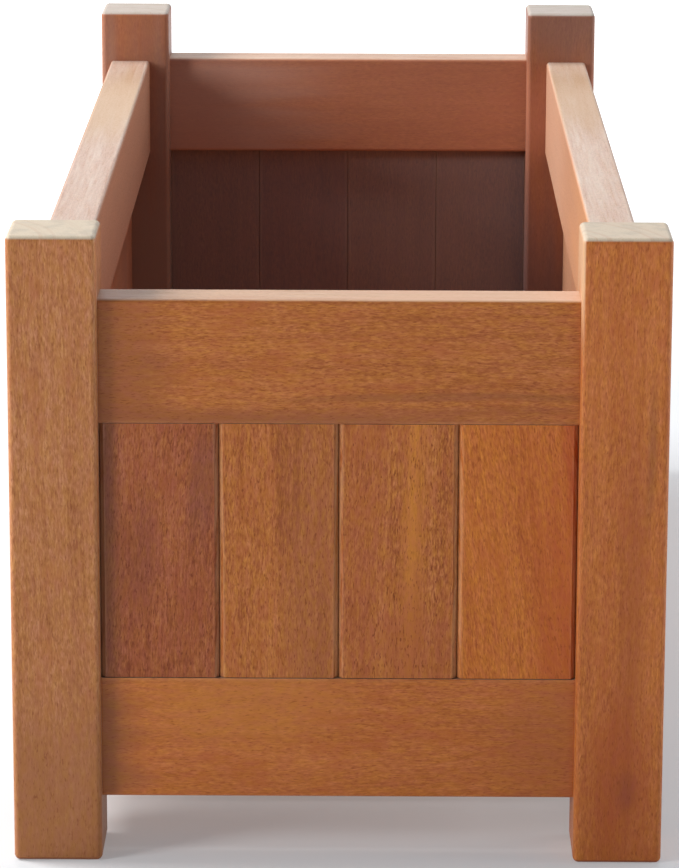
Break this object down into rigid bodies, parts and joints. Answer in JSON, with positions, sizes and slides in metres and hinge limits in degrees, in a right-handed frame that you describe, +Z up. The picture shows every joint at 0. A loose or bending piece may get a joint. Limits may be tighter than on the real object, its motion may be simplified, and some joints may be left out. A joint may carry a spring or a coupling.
{
  "type": "raised planter box",
  "caption": "Long raised planter box of oiled hardwood: square corner posts, tenoned rails, tongue-and-groove slat panels and a slatted floor that drains.",
  "frame": {"origin": "middle of the ground under the box, level with the four feet", "axes": "+X across the width, to the right as seen from the pictured end; +Y along the length, away from that end; +Z up"},
  "size_m": [0.382, 0.942, 0.376],
  "materials": {
    "post_wood": "sanded and oiled",
    "rail_wood": "sanded and oiled",
    "slat_wood": "sanded and oiled",
    "floor_wood": "sawn, unoiled",
    "screw_steel": "bare"
  },
  "bodies": {
    "root": {"cleat_screws": "screw_steel", "floor_board_01": "floor_wood", "floor_board_02": "floor_wood", "floor_board_03": "floor_wood", "floor_board_04": "floor_wood", "floor_board_05": "floor_wood", "floor_board_06": "floor_wood", "floor_board_07": "floor_wood", "floor_board_08": "floor_wood", "floor_board_09": "floor_wood", "floor_board_10": "floor_wood", "floor_screws": "screw_steel", "front_bottom_rail": "rail_wood", "front_slat_1": "slat_wood", "front_slat_2": "slat_wood", "front_slat_3": "slat_wood", "front_slat_4": "slat_wood", "front_top_rail": "rail_wood", "left_bottom_rail": "rail_wood", "left_floor_cleat": "floor_wood", "left_slat_01": "slat_wood", "left_slat_02": "slat_wood", "left_slat_03": "slat_wood", "left_slat_04": "slat_wood", "left_slat_05": "slat_wood", "left_slat_06": "slat_wood", "left_slat_07": "slat_wood", "left_slat_08": "slat_wood", "left_slat_09": "slat_wood", "left_slat_10": "slat_wood", "left_slat_11": "slat_wood", "left_slat_12": "slat_wood", "left_top_rail": "rail_wood", "post_front_left": "post_wood", "post_front_right": "post_wood", "post_rear_left": "post_wood", "post_rear_right": "post_wood", "rear_bottom_rail": "rail_wood", "rear_slat_1": "slat_wood", "rear_slat_2": "slat_wood", "rear_slat_3": "slat_wood", "rear_slat_4": "slat_wood", "rear_top_rail": "rail_wood", "right_bottom_rail": "rail_wood", "right_floor_cleat": "floor_wood", "right_slat_01": "slat_wood", "right_slat_02": "slat_wood", "right_slat_03": "slat_wood", "right_slat_04": "slat_wood", "right_slat_05": "slat_wood", "right_slat_06": "slat_wood", "right_slat_07": "slat_wood", "right_slat_08": "slat_wood", "right_slat_09": "slat_wood", "right_slat_10": "slat_wood", "right_slat_11": "slat_wood", "right_slat_12": "slat_wood", "right_top_rail": "rail_wood"}
  },
  "joints": []
}
